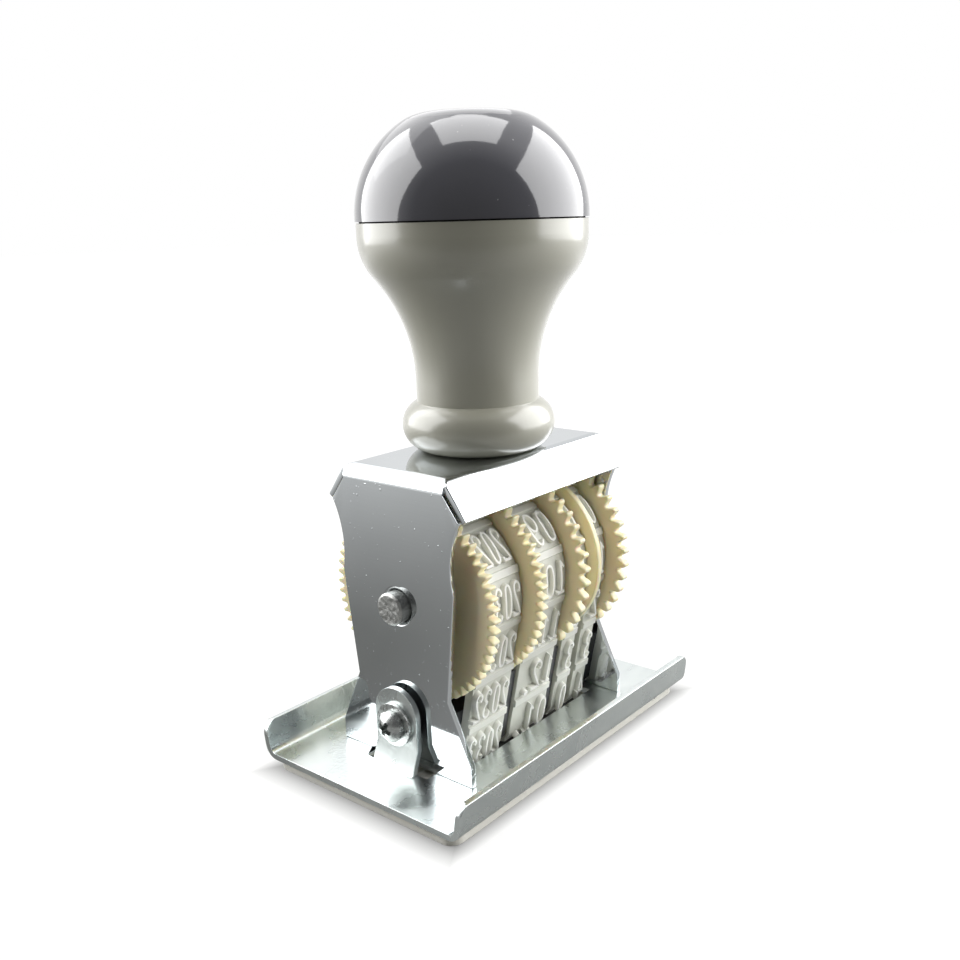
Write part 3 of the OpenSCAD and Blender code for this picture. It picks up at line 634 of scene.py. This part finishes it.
STROKE_FOOT = 0.44 * MM
STROKE_CREST = 0.2 * MM
PAD_RISE = 0.4 * MM
PAD_FOOT = 0.85 * MM
PAD_CREST = 0.65 * MM
PAD_INSET = 0.05 * MM
RIDGE_SINK = 0.1 * MM
ROWS = 13
FIRST_ROW = 12.95 * MM
row_pitch = 2 * half_path / ROWS


def add_line(curve, points, closed):
    """Adds a line of straight pieces to a flat curve."""
    line = curve.splines.new("POLY")
    line.points.add(len(points) - 1)
    for point, (x, y) in zip(line.points, points):
        point.co = (x, y, 0, 1)
    line.use_cyclic_u = closed


def ridges(name, lines, foot, crest, rise):
    """Flat drawing of ridges with sloping sides along the given lines, as one bmesh."""
    section = bpy.data.curves.new("ridge_section", "CURVE")
    corners = ((-foot, -RIDGE_SINK), (-crest, rise), (crest, rise), (foot, -RIDGE_SINK))
    add_line(section, corners, closed=True)
    section_object = bpy.data.objects.new("ridge_section", section)
    bpy.context.scene.collection.objects.link(section_object)
    drawing = bpy.data.curves.new(name, "CURVE")
    drawing.dimensions = "3D"
    drawing.twist_mode = "Z_UP"
    drawing.bevel_mode = "OBJECT"
    drawing.bevel_object = section_object
    drawing.use_fill_caps = True
    for points, closed in lines:
        add_line(drawing, points, closed)
    drawn = bpy.data.objects.new(name, drawing)
    bpy.context.scene.collection.objects.link(drawn)
    bpy.context.view_layer.update()
    flat = drawn.evaluated_get(bpy.context.evaluated_depsgraph_get()).to_mesh()
    shape = bmesh.new()
    shape.from_mesh(flat)
    bpy.data.objects.remove(drawn)
    bpy.data.objects.remove(section_object)
    return shape


def figures(name, band, texts, offsets, wide):
    """Lays rows of mirrored numerals, set off from the band's far edge, and the pads between them."""
    low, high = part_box(band)
    strokes, pads = [], []
    for row in range(ROWS):
        middle = FIRST_ROW + row * row_pitch
        for sign, offset in zip(texts[row % len(texts)], offsets):
            for points, closed in NUMERALS[sign]:
                laid = [(high.x - offset + (0.5 - x) * wide, middle + (0.5 - y) * FIGURE_TALL)
                        for x, y in points]
                strokes.append((laid, closed))
        gap = middle + row_pitch / 2
        span = [(low.x + PAD_INSET, gap), (high.x - PAD_INSET, gap)]
        pads.append((straight_line(span, per_piece=3), False))
    shape = ridges(name, strokes, STROKE_FOOT, STROKE_CREST, FIGURE_RISE)
    join(shape, ridges(name, pads, PAD_FOOT, PAD_CREST, PAD_RISE))
    # The crest value, from 0 at the belt to 1 on top, carries the painted highlight.
    crest = shape.verts.layers.float.new("crest")
    for vert in shape.verts:
        vert[crest] = min(max(vert.co.z / FIGURE_RISE, 0.0), 1.0)
        vert.co = on_belt(vert.co.x, vert.co.y, vert.co.z)
    bmesh.ops.recalc_face_normals(shape, faces=shape.faces)
    soft_shading(shape, MOULDED_CREASE)
    new_piece(name, shape, belt, "stamp", "band_rubber")


FIRST_YEAR = 2029
FIRST_MONTH = 9
YEAR_WIDE = 2.1 * MM
MONTH_WIDE = 3.1 * MM
DAY_WIDE = 2.3 * MM
year_places = [x * MM for x in (2.3, 4.85, 7.4, 9.9)]
month_places = [x * MM for x in (2.3, 6.0, 8.9)]
day_places = [2.25 * MM]
years = [str(FIRST_YEAR + row) for row in range(ROWS)]
months = ["%02d." % ((FIRST_MONTH - 1 + row) % 12 + 1) for row in range(12)] + [""]
day_tens = ["0", "1", "2", "3"]
day_units = [str(row % 10) for row in range(ROWS)]
figures("year_figures", "year_band", years, year_places, YEAR_WIDE)
figures("month_figures", "month_band", months, month_places, MONTH_WIDE)
figures("day_tens_figures", "day_tens_band", day_tens, day_places, DAY_WIDE)
figures("day_units_figures", "day_units_band", day_units, day_places, DAY_WIDE)

# Grip: warm grey ABS, moulded glossy, bolted on the yoke from below. Flow clouds and slight
# waves show in the gloss, and its rim under the cap gets painted shade, dark and without coat.
grip, tree, shader, place = start_material(
    "warm_grey_abs_moulded", Roughness=0.33, IOR=1.7, Coat_Roughness=0.17)
flow = add(tree, "ShaderNodeTexNoise", {"Vector": place, "Scale": 1 / (16 * MM), "Detail": 2.0})
tone = add(tree, "ShaderNodeMix", {
    "Factor": flow.outputs["Fac"],
    FROM_COLOUR: linear("#AFAE9F"), TO_COLOUR: linear("#A7A697")}, data_type="RGBA")
SEAM_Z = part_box("grip")[1].z
RIM_DEPTH = 0.03 * MM
# Painted shade for the seam between grip and cap: a near black colour, used on both parts.
painted_seam_shade = linear("#1C1C1A")
height = add(tree, "ShaderNodeSeparateXYZ", {0: place}).outputs["Z"]
clear_of_seam_shade = add(tree, "ShaderNodeMath", {
    0: height, 1: SEAM_Z - RIM_DEPTH}, operation="LESS_THAN").outputs[0]
tone = add(tree, "ShaderNodeMix", {
    "Factor": clear_of_seam_shade,
    FROM_COLOUR: painted_seam_shade, TO_COLOUR: tone.outputs[MIXED_COLOUR]}, data_type="RGBA")
tree.links.new(tone.outputs[MIXED_COLOUR], shader.inputs["Base Color"])
# The coat is off where the shade is painted, so the rim shows no reflection.
gloss = add(tree, "ShaderNodeMapRange", {"Value": clear_of_seam_shade, "To Min": 0.0, "To Max": 0.9})
tree.links.new(gloss.outputs["Result"], shader.inputs["Coat Weight"])
skin = add(tree, "ShaderNodeTexNoise", {"Vector": place, "Scale": 1 / (2.5 * MM), "Detail": 2.0})
relief = add(tree, "ShaderNodeBump", {
    "Height": skin.outputs["Fac"], "Strength": 0.06, "Distance": 0.05 * MM})
tree.links.new(relief.outputs["Normal"], shader.inputs["Normal"])
coat(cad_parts["grip"], grip)

# Cap: dark grey ABS, moulded and polished, plugged into the grip with a fine open seam.
# It is smooth enough to mirror the lit panels, with a few pale scuffs and painted shade along the seam.
cap, tree, shader, place = start_material(
    "dark_grey_abs_polished", Roughness=0.09, IOR=1.55, Coat_Roughness=0.02)
flow = add(tree, "ShaderNodeTexNoise", {"Vector": place, "Scale": 1 / (10 * MM), "Detail": 2.0})
tone = add(tree, "ShaderNodeMix", {
    "Factor": flow.outputs["Fac"],
    FROM_COLOUR: linear("#5A5A60"), TO_COLOUR: linear("#525258")}, data_type="RGBA")
scuffs = add(tree, "ShaderNodeTexNoise", {"Vector": place, "Scale": 1 / (1.1 * MM), "Detail": 1.0})
scuffs = add(tree, "ShaderNodeMapRange", {
    "Value": scuffs.outputs["Fac"], "From Min": 0.77, "From Max": 0.81})
tone = add(tree, "ShaderNodeMix", {
    "Factor": scuffs.outputs["Result"],
    FROM_COLOUR: tone.outputs[MIXED_COLOUR], TO_COLOUR: linear("#B4B4B6")}, data_type="RGBA")
# Painted shade along the seam: below this height the cap is near black, without coat and without
# specular.
SEAM_GAP = 0.25 * MM
height = add(tree, "ShaderNodeSeparateXYZ", {0: place}).outputs["Z"]
clear_of_seam_shade = add(tree, "ShaderNodeMath", {
    0: height, 1: SEAM_Z + SEAM_GAP}, operation="GREATER_THAN").outputs[0]
tone = add(tree, "ShaderNodeMix", {
    "Factor": clear_of_seam_shade,
    FROM_COLOUR: painted_seam_shade, TO_COLOUR: tone.outputs[MIXED_COLOUR]}, data_type="RGBA")
tree.links.new(tone.outputs[MIXED_COLOUR], shader.inputs["Base Color"])
gloss = add(tree, "ShaderNodeMapRange", {"Value": clear_of_seam_shade, "To Min": 0.0, "To Max": 0.7})
tree.links.new(gloss.outputs["Result"], shader.inputs["Coat Weight"])
shine = add(tree, "ShaderNodeMapRange", {"Value": clear_of_seam_shade, "To Min": 0.0, "To Max": 0.5})
tree.links.new(shine.outputs["Result"], shader.inputs["Specular IOR Level"])
relief = add(tree, "ShaderNodeBump", {
    "Height": scuffs.outputs["Result"], "Strength": 0.4, "Distance": 0.05 * MM})
tree.links.new(relief.outputs["Normal"], shader.inputs["Coat Normal"])
coat(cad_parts["grip_cap"], cap)

# Grip fixing: a steel bolt and washer inside the yoke and a turned brass insert in the
# grip. Only the bolt head and washer can be seen, from below.
coat(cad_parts["grip_bolt"], fastener)
coat(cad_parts["grip_washer"], fastener)
brass, tree, shader, place = start_material(
    "brass_turned", Base_Color=linear("#C9A45A"), Metallic=1.0)
marks = add(tree, "ShaderNodeTexNoise", {"Vector": place, "Scale": 1 / (0.5 * MM), "Detail": 2.0})
spread = add(tree, "ShaderNodeMapRange", {"Value": marks.outputs["Fac"], "To Min": 0.2, "To Max": 0.4})
tree.links.new(spread.outputs["Result"], shader.inputs["Roughness"])
coat(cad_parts["grip_insert"], brass)

# Floor: a matt white sheet on the table, drawn mid grey as painted shade. A glow of its own makes it
# near white to the camera, with a soft shadow, but not under the stamp. In the plating its glow is a
# painted reflection, dark near the stamp and in front.
FLOOR_HALF = 4.0
FLOOR_DROP = 0.05 * MM
FOOT_X = 37 * MM
FOOT_Y = 23 * MM
FRONT = (-0.77, -0.64, 0.0)
DARK_SPOT = (-0.05, 0.06, 0.0)
white = linear("#FFFFFF")
sheet = bmesh.new()
bmesh.ops.create_grid(sheet, x_segments=1, y_segments=1, size=FLOOR_HALF)
bmesh.ops.translate(sheet, vec=(0, 0, -FLOOR_DROP), verts=sheet.verts)
floor = mesh_object("floor", sheet)
paper, tree, shader, place = start_material(
    "pale_paper_matt", Base_Color=linear("#767674"), Roughness=0.9, Specular_IOR_Level=0.0,
    Emission_Color=white)
path = tree.nodes.new("ShaderNodeLightPath")
reach = add(tree, "ShaderNodeVectorMath", {0: place}, operation="LENGTH").outputs["Value"]
straight = add(tree, "ShaderNodeMath", {
    0: path.outputs["Is Camera Ray"], 1: path.outputs["Is Transmission Ray"]}, operation="MAXIMUM")
near_white = add(tree, "ShaderNodeMapRange", {
    "Value": reach, "From Min": 0.12, "From Max": 0.7, "To Min": 0.83, "To Max": 1.0})
straight = add(tree, "ShaderNodeMath", {
    0: straight.outputs[0], 1: near_white.outputs["Result"]}, operation="MULTIPLY")
under = add(tree, "ShaderNodeMapping", {"Vector": place, "Scale": (1 / FOOT_X, 1 / FOOT_Y, 0.0)})
under = add(tree, "ShaderNodeVectorMath", {0: under.outputs["Vector"]}, operation="ABSOLUTE")
under = add(tree, "ShaderNodeSeparateXYZ", {0: under.outputs["Vector"]})
under = add(tree, "ShaderNodeMath", {0: under.outputs["X"], 1: under.outputs["Y"]}, operation="MAXIMUM")
clear = add(tree, "ShaderNodeMapRange", {"Value": under.outputs[0], "From Min": 0.88, "From Max": 1.1})
straight = add(tree, "ShaderNodeMath", {
    0: straight.outputs[0], 1: clear.outputs["Result"]}, operation="MULTIPLY")
# Painted reflection: glossy rays see a glow, with painted shade near the stamp and toward the front.
shade = add(tree, "ShaderNodeVectorMath", {0: place, 1: DARK_SPOT}, operation="DISTANCE")
mirror_pale = add(tree, "ShaderNodeMapRange", {
    "Value": shade.outputs["Value"], "From Min": 0.02, "From Max": 0.4})
front = add(tree, "ShaderNodeVectorMath", {0: place, 1: FRONT}, operation="DOT_PRODUCT")
front_dark = add(tree, "ShaderNodeMapRange", {
    "Value": front.outputs["Value"], "From Min": 0.08, "From Max": 0.25, "To Min": 1.0, "To Max": 0.1})
mirrored = add(tree, "ShaderNodeMath", {
    0: mirror_pale.outputs["Result"], 1: front_dark.outputs["Result"]}, operation="MULTIPLY")
mirrored = add(tree, "ShaderNodeMath", {
    0: path.outputs["Is Glossy Ray"], 1: mirrored.outputs[0]}, operation="MULTIPLY")
glow = add(tree, "ShaderNodeMath", {
    0: straight.outputs[0], 1: mirrored.outputs[0]}, operation="MAXIMUM")
tree.links.new(glow.outputs[0], shader.inputs["Emission Strength"])
coat(floor, paper)

# Light: a small white tent. Both side walls and the roof are lit panels, and a dim one hangs high
# at the back. In reflections the cloth is white, and the open front with the camera is dark.
TENT_MIDDLE = Vector((0, 0, 50 * MM))
TENT_DIM = 0.06
for name, toward, distance, wide, tall, level in (
        ("left_wall", (-152, 27), 0.5, 0.58, 0.54, 3.4),
        ("back_top", (160, 46), 0.55, 0.7, 0.34, 0.7),
        ("right_wall", (50, 26), 0.5, 0.72, 0.54, 3.8),
        ("roof", (130, 83), 0.55, 0.36, 0.36, 3.2)):
    azimuth, height = (math.radians(a) for a in toward)
    out = Vector((
        math.sin(azimuth) * math.cos(height), -math.cos(azimuth) * math.cos(height), math.sin(height)))
    lamp = bpy.data.lights.new(name, "AREA")
    lamp.shape = "RECTANGLE"
    lamp.size, lamp.size_y = wide, tall
    lamp.energy = level * math.pi * wide * tall
    lit = bpy.data.objects.new(name, lamp)
    lit.location = TENT_MIDDLE + out * distance
    lit.rotation_mode = "QUATERNION"
    lit.rotation_quaternion = (-out).to_track_quat("-Z", "Y")
    lit.visible_camera = False
    bpy.context.scene.collection.objects.link(lit)
world = bpy.data.worlds.new("white_tent")
world.use_nodes = True
bpy.context.scene.world = world
tree = world.node_tree
backdrop = tree.nodes["Background"]
path = tree.nodes.new("ShaderNodeLightPath")
direction = tree.nodes.new("ShaderNodeTexCoord").outputs["Generated"]
facing = add(tree, "ShaderNodeVectorMath", {0: direction, 1: FRONT}, operation="DOT_PRODUCT")
tent = add(tree, "ShaderNodeMapRange", {
    "Value": facing.outputs["Value"], "From Min": 0.0, "From Max": 0.55, "To Min": 1.0, "To Max": 0.15})
mirrored = add(tree, "ShaderNodeMath", {
    0: path.outputs["Is Glossy Ray"], 1: tent.outputs["Result"]}, operation="MULTIPLY")
plain = add(tree, "ShaderNodeMath", {
    0: path.outputs["Is Camera Ray"], 1: path.outputs["Is Transmission Ray"]}, operation="MAXIMUM")
shown = add(tree, "ShaderNodeMath", {0: plain.outputs[0], 1: mirrored.outputs[0]}, operation="MAXIMUM")
strength = add(tree, "ShaderNodeMath", {0: shown.outputs[0], 1: TENT_DIM}, operation="MAXIMUM")
backdrop.inputs["Color"].default_value = white
tree.links.new(strength.outputs[0], backdrop.inputs["Strength"])

# Camera: a phone held close in front of the near left corner and a little above. Its place,
# turn and lens come from a fit to points of the photo.
eye = bpy.data.cameras.new("camera")
eye.sensor_width = 36.0
eye.lens = 38.074
eye.shift_x, eye.shift_y = -0.02083, 0.03125
eye.clip_start, eye.clip_end = 0.005, 20.0
camera = bpy.data.objects.new("camera", eye)
stand = Vector((-141.949, -120.823, 99.366)) * MM
right = Vector((0.627763, -0.777971, -0.025975))
up = Vector((0.231019, 0.154341, 0.96063))
away = Vector((-0.743333, -0.609048, 0.276616))
turned_to = Matrix((right, up, away)).transposed().to_4x4()
camera.matrix_world = Matrix.Translation(stand) @ turned_to
bpy.context.scene.collection.objects.link(camera)
bpy.context.scene.camera = camera
bpy.context.scene.view_settings.view_transform = "Standard"
